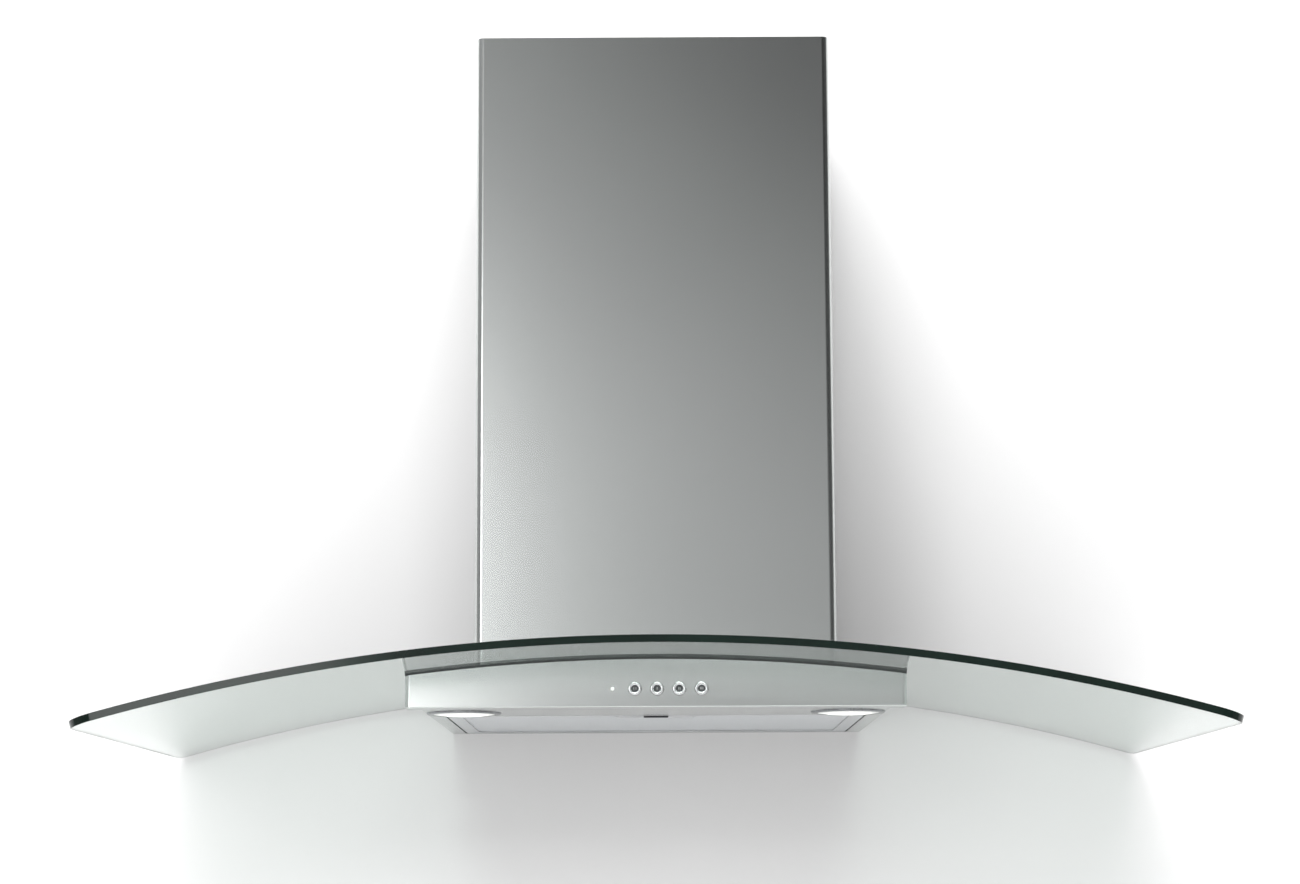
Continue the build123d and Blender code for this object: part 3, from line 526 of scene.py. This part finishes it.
def buildFilterMesh():
    # one area behind the latch's notch and one on each side of it
    size = dict(diamondLength=8 * mm, diamondWidth=4 * mm, strand=0.55 * mm, notchHalf=34.6 * mm,
                notchRear=-228 * mm, margin=1.5 * mm, seam=0.5 * mm)
    low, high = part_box("filter_screen")
    level = (low.z + high.z) / 2
    edge = size["strand"]
    tree = meshTree()
    areas = [((low.x + edge, size["notchRear"] + size["margin"]),
              (high.x - edge, high.y - size["margin"]))]
    for inner, outer in ((low.x + edge, -size["notchHalf"]), (size["notchHalf"], high.x - edge)):
        areas.append(((inner, low.y + size["margin"]), (outer, size["notchRear"] - size["seam"])))
    joined = bmesh.new()
    for (x0, y0), (x1, y1) in areas:
        links = 2 * int((x1 - x0 - size["diamondLength"] / 2) / size["diamondLength"]) + 1
        rows = int((y1 - y0) / (size["diamondWidth"] / 2))
        mesh = grownMesh("meshArea", bpy.data.meshes.new("meshStart"), tree, {
            "Rows": rows, "Links": links, "Diamond Length": size["diamondLength"],
            "Diamond Width": size["diamondWidth"], "Strand": size["strand"],
            "Corner": (x0, y0, level), "Metal": meshAluminium})
        joined.from_mesh(mesh)
    bmesh.ops.recalc_face_normals(joined, faces=joined.faces)
    sheet = objectFromBmesh("filterMesh", joined, [meshAluminium])
    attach(sheet, "filter")
    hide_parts("filter_screen")
    return sheet


def screwHead(look):
    # a pan head with a cross recess, its shank below; local Z is the way that the head faces
    shape = bmesh.new()
    sides = 16
    turns = [math.radians(360 / sides * i) for i in range(sides)]
    arm, slot = look["recess"], look["recess"] * 0.24

    def ring(radius, z):
        return [shape.verts.new((radius * math.cos(a), radius * math.sin(a), z)) for a in turns]

    def cross(scale, z):
        corners = []
        for quarter in range(4):
            turn = Matrix.Rotation(math.radians(90 * quarter), 3, "Z")
            for x, y in ((arm, 0), (arm, slot), (slot, slot), (slot, arm)):
                corners.append(shape.verts.new(turn @ Vector((x * scale, y * scale, z))))
        return corners

    radius, height = look["headRadius"], look["headHeight"]
    shank, length = look["shankRadius"], look["length"]
    loops = [ring(shank, -length), ring(shank, 0), ring(radius, 0), ring(radius, 0.45 * height),
             ring(0.93 * radius, 0.75 * height), ring(0.75 * radius, 0.95 * height),
             ring(0.62 * radius, height), cross(1.0, height), cross(0.7, 0.35 * height)]
    for under, over in zip(loops, loops[1:]):
        for i in range(sides):
            j = (i + 1) % sides
            shape.faces.new((under[i], under[j], over[j], over[i]))
    shape.faces.new(list(reversed(loops[0])))
    shape.faces.new(loops[-1])
    bmesh.ops.recalc_face_normals(shape, faces=shape.faces)
    mesh = bpy.data.meshes.new("screwTemplate")
    shape.to_mesh(mesh)
    shape.free()
    return mesh


def screwTree():
    # a screw on each point, turned so that its head faces along the point's own direction
    tree, given, result = geometryTree("screwsOnPoints", [
        ("Screw", "Object"), ("Scale", "Float"), ("Metal", "Material")])
    screw = addNode(tree, "GeometryNodeObjectInfo", {"Object": given["Screw"]})
    facing = addNode(tree, "GeometryNodeInputNamedAttribute", {"Name": "facing"},
                     data_type="FLOAT_VECTOR")
    turn = addNode(tree, "FunctionNodeAlignRotationToVector", {
        "Vector": facing.outputs[0]}, axis="Z")
    scale = addNode(tree, "ShaderNodeCombineXYZ", {
        "X": given["Scale"], "Y": given["Scale"], "Z": given["Scale"]})
    placed = addNode(tree, "GeometryNodeInstanceOnPoints", {
        "Points": given["Geometry"], "Instance": screw.outputs["Geometry"],
        "Rotation": turn.outputs[0], "Scale": scale.outputs[0]})
    real = addNode(tree, "GeometryNodeRealizeInstances", {"Geometry": placed.outputs[0]})
    metal = addNode(tree, "GeometryNodeSetMaterial", {
        "Geometry": real.outputs[0], "Material": given["Metal"]})
    tree.links.new(metal.outputs[0], result.inputs["Geometry"])
    return tree


def buildScrews():
    look = dict(headRadius=3.6 * mm, headHeight=2.2 * mm, shankRadius=2 * mm, recess=1.7 * mm)
    # the shank's length and each place in mm, with the way its head faces
    motorCentre = dict(x=64, y=-102, z=165, reach=76)
    motorPlaces = []
    for turn in (30, 150, 270):
        y = motorCentre["y"] + motorCentre["reach"] * math.cos(math.radians(turn))
        z = motorCentre["z"] + motorCentre["reach"] * math.sin(math.radians(turn))
        motorPlaces.append(((motorCentre["x"], y, z), (1, 0, 0)))
    rows = {
        "fascia_screws": (6.3, [((x, -343, 15), (0, 1, 0)) for x in (-183, 183)]),
        "collar_screws": (2.0, [((x, y, 322), (0, 0, 1)) for x in (-58.34, 58.34)
                                for y in (-206.34, -89.66)]),
        "motor_screws": (6.0, motorPlaces),
        "chimney_screws": (6.5, [((side * 153.5, -130, 70), (side, 0, 0)) for side in (-1, 1)]),
        "bracket_screws": (3.0, [((x, -6.8, 572), (0, -1, 0)) for x in (-143, 143)]),
    }
    tree = screwTree()
    for nodeName, (length, places) in rows.items():
        template = bpy.data.objects.new("screwTemplate", screwHead(dict(look, length=length * mm)))
        bpy.context.scene.collection.objects.link(template)
        points = bpy.data.meshes.new("screwPoints")
        points.from_pydata([Vector(place) * mm for place, facing in places], [], [])
        facings = points.attributes.new("facing", "FLOAT_VECTOR", "POINT")
        for item, (place, facing) in zip(facings.data, places):
            item.vector = facing
        mesh = grownMesh(nodeName, points, tree, {
            "Screw": template, "Scale": 1.0, "Metal": zincPlate})
        bpy.data.objects.remove(template)
        name = "".join(word.capitalize() for word in nodeName.split("_"))
        piece = bpy.data.objects.new("recessed" + name, mesh)
        bpy.context.scene.collection.objects.link(piece)
        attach(piece, "inner_cover" if nodeName == "bracket_screws" else "hood")
        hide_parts(nodeName)
    return rows


def buildButtons():
    # sizes in mm; the marks stand in the dished middle, markRear behind the cap's front
    size = dict(front=-371.6, height=15.0, facets=48, markRear=0.56, markDeep=0.22)
    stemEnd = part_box("light_button")[1].y / mm - size["front"]
    # radius, depth and finish, from the middle of the cap back to the end of its stem
    profile = [(0, 0.55, 1), (1.2, 0.53, 1), (2.4, 0.42, 1), (2.9, 0.3, 1), (3.0, 0.42, 1),
               (3.15, 0.42, 0), (3.3, 0.12, 0), (3.7, 0.0, 0), (4.5, 0.0, 0), (5.0, 0.08, 0),
               (5.3, 0.25, 0), (5.4, 0.55, 0), (5.4, 3.1, 0), (6.6, 3.1, 0), (6.6, 4.3, 0),
               (2.0, 4.3, 0), (2.0, stemEnd, 0), (0, stemEnd, 0)]
    # body, place across the fascia, and each bar's middle, width and height: two bars for the
    # lamps, then one, two and three for the speeds
    marks = {
        "light_button": ("button_light", -17, [(-0.9, 0.32, 2.0), (0.9, 0.32, 2.0)]),
        "speed_one_button": ("button_one", 1, [(0, 0.36, 2.0)]),
        "speed_two_button": ("button_two", 19, [(-0.55, 0.34, 2.0), (0.55, 0.34, 2.0)]),
        "speed_three_button": ("button_three", 37,
                               [(-1.0, 0.32, 2.0), (0, 0.32, 2.0), (1.0, 0.32, 2.0)]),
    }
    for nodeName, (body, x, bars) in marks.items():
        shape = bmesh.new()

        def point(radius, depth, turn):
            return shape.verts.new(((x + radius * math.cos(turn)) * mm, (size["front"] + depth) * mm,
                                    (size["height"] + radius * math.sin(turn)) * mm))

        turns = [2 * math.pi * i / size["facets"] for i in range(size["facets"])]
        loops = []
        for radius, depth, finish in profile:
            loops.append([point(radius, depth, t) for t in (turns if radius else turns[:1])])
        for near, far, (radius, depth, finish) in zip(loops, loops[1:], profile[1:]):
            spanLoops(shape, near, far, finish)
        for middle, wide, tall in bars:
            corners = []
            markRear = size["front"] + size["markRear"]
            for depth in (markRear, markRear - size["markDeep"]):
                corners.append([shape.verts.new(((x + middle + sx * wide / 2) * mm, depth * mm,
                                                 (size["height"] + sz * tall / 2) * mm))
                                for sx, sz in ((-1, -1), (1, -1), (1, 1), (-1, 1))])
            rear, front = corners
            boxFaces = [front, rear] + [[rear[i], rear[(i + 1) % 4], front[(i + 1) % 4], front[i]]
                                        for i in range(4)]
            for corner in boxFaces:
                shape.faces.new(corner).material_index = 2
        bmesh.ops.recalc_face_normals(shape, faces=shape.faces)
        name = "".join(word.capitalize() for word in nodeName.split("_"))
        cap = objectFromBmesh("ringed" + name, shape, [buttonChrome, capCentre, markPaint])
        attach(cap, body)
        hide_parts(nodeName)
    return marks


def buildLenses():
    # pressed glass dish, sizes in mm: ribs on its face spread the light
    size = dict(radius=25.4, fromWall=305, fromMiddle=159.5, skirtTop=1.0, rim=-1.3, sag=1.5,
                wall=1.6, hollow=0.2, ribs=9, ribSteps=4, ribDeep=0.18, facets=64)
    steps = size["ribs"] * size["ribSteps"]
    inner = size["radius"] - size["wall"]
    # radius and height, from the middle of the face round the skirt to the hollow behind
    profile = []
    for i in range(steps + 1):
        swell = 0.5 - 0.5 * math.cos(2 * math.pi * i / size["ribSteps"]) if i < steps else 0
        profile.append((size["radius"] * i / steps, size["rim"]
                        - size["sag"] * (1 - (i / steps) ** 2) + size["ribDeep"] * swell))
    profile += [(size["radius"], size["skirtTop"]), (inner, size["skirtTop"]),
                (inner, size["rim"] + size["wall"]),
                (0.5 * inner, size["rim"] + 2 * size["hollow"]), (0, size["rim"] + size["hollow"])]
    for side, x in (("left", -size["fromMiddle"]), ("right", size["fromMiddle"])):
        shape = bmesh.new()
        loops = []
        for r, z in profile:
            turns = [2 * math.pi * k / size["facets"] for k in range(size["facets"] if r else 1)]
            loops.append([shape.verts.new(((x + r * math.cos(t)) * mm,
                                           (r * math.sin(t) - size["fromWall"]) * mm, z * mm))
                          for t in turns])
        for near, far in zip(loops, loops[1:]):
            spanLoops(shape, near, far)
        bmesh.ops.recalc_face_normals(shape, faces=shape.faces)
        lens = objectFromBmesh("ribbedLens" + side.capitalize(), shape, [lensGlass])
        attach(lens, "hood")
        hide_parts("lamp_lens_" + side)


def buildLatchGrip():
    # moulded lip under the latch for a fingertip, sizes in mm
    size = dict(half=10.5, front=-257.6, rear=-254.9, top=0.9, bottom=-1.5, round=0.7)
    shape = bmesh.new()
    bmesh.ops.create_cube(shape, size=1)
    middle = Vector((0, (size["front"] + size["rear"]) / 2,
                     (size["top"] + size["bottom"]) / 2)) * mm
    spread = Vector((2 * size["half"], size["rear"] - size["front"],
                     size["top"] - size["bottom"])) * mm
    for corner in shape.verts:
        corner.co = middle + Vector(a * b for a, b in zip(corner.co, spread))
    bmesh.ops.bevel(shape, geom=shape.edges[:], offset=size["round"] * mm, segments=4, profile=0.5,
                    affect="EDGES")
    bmesh.ops.recalc_face_normals(shape, faces=shape.faces)
    grip = objectFromBmesh("latchFingerGrip", shape, [blackPlastic])
    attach(grip, "latch")


def buildLatchSpring():
    # the real coil shortens as the latch slides back; here the CAD node's coil is copied with its
    # duplicate points merged, and it stays in place
    shape = bmesh.new()
    shape.from_mesh(nodes["latch_spring"].data)
    bmesh.ops.remove_doubles(shape, verts=shape.verts, dist=0.001 * mm)
    spring = objectFromBmesh("latchCoilSpring", shape, [zincPlate])
    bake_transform(spring)
    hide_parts("latch_spring")


filterMesh = buildFilterMesh()
print("filter mesh:", len(filterMesh.data.polygons), "faces")
print("screws:", sum(len(places) for length, places in buildScrews().values()))
print("buttons:", len(buildButtons()))
buildLenses()
buildLatchGrip()
buildLatchSpring()
print("lamp lenses, latch grip and latch spring are built")


studio = dict(wallHalf=9.0, wallTop=6.0, floorLevel=-0.9, floorReach=22.0, wallGap=0.5 * mm,
              openMargin=12 * mm, wallTone="#F6F6F6", floorTone="#EFEFEF",
              # power, width, height, place and aim
              lamps=dict(ceilingLeft=(72.3, 1.63, 1.63, (-0.98, -1.40, 3.17), (0, 0, 0.3)),
                         ceilingRight=(60.7, 1.55, 1.55, (0.18, -1.04, 2.86), (0, 0, 0)),
                         frontWindow=(24.0, 1.24, 1.3, (-1.26, -4.04, 0.46), (0, -0.27, 0.3)),
                         frontFill=(42.0, 1.5, 1.0, (0.3, -4.0, 1.4), (0, 0, 0.2))),
              # heading, inner and outer angle in degrees, strength outside and inside
              roomTones=[((0.711, -0.635, 0.302), 61, 116, 0.423, 0.551),
                         ((0.266, -0.778, 0.570), 21, 30, 1.0, 0.011),
                         ((0.738, -0.555, 0.384), 21, 48, 1.0, 0.153),
                         ((-0.533, -0.840, -0.104), 12, 30, 1.0, 0.398)])


def buildStage():
    # a matt wall, see-through from behind, and a matt floor
    wallMaterial, tree, paint, place = startMaterial("mattWallPaint", {
        "Base Color": fromHex(studio["wallTone"]), "Roughness": 0.9, "Specular IOR Level": 0.1})
    side = addNode(tree, "ShaderNodeNewGeometry")
    gone = addNode(tree, "ShaderNodeBsdfTransparent")
    oneSided = addNode(tree, "ShaderNodeMixShader", {
        0: side.outputs["Backfacing"], 1: paint.outputs["BSDF"], 2: gone.outputs["BSDF"]})
    tree.links.new(oneSided.outputs["Shader"], tree.nodes["Material Output"].inputs["Surface"])
    # the wall is open just behind the hood, where nothing shows, so that its back gets light
    lowBody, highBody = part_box("canopy_body")
    lowCover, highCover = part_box("lower_chimney")
    margin = studio["openMargin"]
    y = studio["wallGap"]
    edgesX = [-studio["wallHalf"], lowBody.x + margin, lowCover.x + margin,
              highCover.x - margin, highBody.x - margin, studio["wallHalf"]]
    edgesZ = [studio["floorLevel"], lowBody.z + margin / 2, highBody.z - margin,
              highCover.z - margin, studio["wallTop"]]
    shape = bmesh.new()
    grid = [[shape.verts.new((x, y, z)) for z in edgesZ] for x in edgesX]
    for i in range(5):
        for j in range(4):
            openBody = 1 <= i <= 3 and j == 1
            openCover = i == 2 and j in (1, 2)
            if not (openBody or openCover):
                shape.faces.new((grid[i][j], grid[i + 1][j], grid[i + 1][j + 1], grid[i][j + 1]))
    objectFromBmesh("wallBackdrop", shape, [wallMaterial])
    floorMaterial = startMaterial("mattFloor", {
        "Base Color": fromHex(studio["floorTone"]), "Roughness": 0.9, "Specular IOR Level": 0.1})[0]
    shape = bmesh.new()
    r = studio["floorReach"]
    shape.faces.new([shape.verts.new((x, y, studio["floorLevel"])) for x, y in
                     ((-r, -r), (r, -r), (r, r), (-r, r))])
    objectFromBmesh("paleFloor", shape, [floorMaterial])


def softbox(name, power, width, height, place, aim):
    light = bpy.data.lights.new(name, "AREA")
    light.energy = power
    light.shape = "RECTANGLE"
    light.size = width
    light.size_y = height
    lamp = bpy.data.objects.new(name, light)
    bpy.context.scene.collection.objects.link(lamp)
    lamp.location = place
    lamp.rotation_euler = (Vector(aim) - Vector(place)).to_track_quat("-Z", "Y").to_euler()
    lamp.visible_camera = False
    lamp.visible_glossy = name != "frontFill"  # a plain fill for the wall, not for the steel


def buildLight():
    for name, settings in studio["lamps"].items():
        softbox(name, *settings)
    world = bpy.data.worlds.new("studioRoom")
    bpy.context.scene.world = world
    world.use_nodes = True
    tree = world.node_tree
    room = tree.nodes["Background"]
    direction = addNode(tree, "ShaderNodeTexCoord").outputs["Generated"]
    # the room is lighter towards the window; a dark patch high in front gives the steel its
    # gradient from light at the foot to dark at the top, and one on each side its darker bends
    tone = None
    for heading, inner, outer, low, high in studio["roomTones"]:
        facing = addNode(tree, "ShaderNodeVectorMath", {
            0: direction, 1: Vector(heading).normalized()}, operation="DOT_PRODUCT")
        step = addNode(tree, "ShaderNodeMapRange", {
            "Value": facing.outputs["Value"], "From Min": math.cos(math.radians(outer)),
            "From Max": math.cos(math.radians(inner)), "To Min": low, "To Max": high},
            interpolation_type="SMOOTHSTEP")
        tone = step if tone is None else addNode(tree, "ShaderNodeMath", {
            0: tone.outputs[0], 1: step.outputs[0]}, operation="MULTIPLY")
    # a camera ray sees white, also through glass
    rays = addNode(tree, "ShaderNodeLightPath")
    firstHit = addNode(tree, "ShaderNodeMath", {0: rays.outputs["Diffuse Depth"], 1: 0.5},
                       operation="LESS_THAN")
    throughGlass = addNode(tree, "ShaderNodeMath", {
        0: rays.outputs["Is Transmission Ray"], 1: firstHit.outputs[0]}, operation="MULTIPLY")
    seen = addNode(tree, "ShaderNodeMath", {
        0: rays.outputs["Is Camera Ray"], 1: throughGlass.outputs[0]}, operation="MAXIMUM")
    strength = addNode(tree, "ShaderNodeMix", {
        0: seen.outputs[0], 2: tone.outputs[0], 3: 1.0}, data_type="FLOAT")
    room.inputs["Color"].default_value = (1, 1, 1, 1)
    tree.links.new(strength.outputs[0], room.inputs["Strength"])
    # the glass passes light to the wall as shadow rays, so no caustics are traced as well
    bpy.context.scene.cycles.caustics_refractive = False
    bpy.context.scene.cycles.caustics_reflective = False


def buildCamera():
    # as in the photograph: from a little below the hood, square to the wall
    view = dict(place=(0.0, -2.5413, -0.1433), pitch=8.032, yaw=-0.107, roll=-0.27,
                focalPixels=2689.1, imageWidth=1300, sensor=36.0, shiftY=0.05)
    camera = bpy.data.objects.new("camera", bpy.data.cameras.new("camera"))
    bpy.context.scene.collection.objects.link(camera)
    camera.data.sensor_width = view["sensor"]
    camera.data.lens = view["sensor"] * view["focalPixels"] / view["imageWidth"]
    camera.data.shift_y = view["shiftY"]
    turn = (Matrix.Rotation(math.radians(-view["yaw"]), 4, "Z")
            @ Matrix.Rotation(math.radians(90 + view["pitch"]), 4, "X")
            @ Matrix.Rotation(math.radians(view["roll"]), 4, "Z"))
    camera.matrix_world = Matrix.Translation(view["place"]) @ turn
    bpy.context.scene.camera = camera


buildStage()
buildLight()
buildCamera()
bpy.context.scene.view_settings.view_transform = "Standard"
print("stage, light and camera are set")
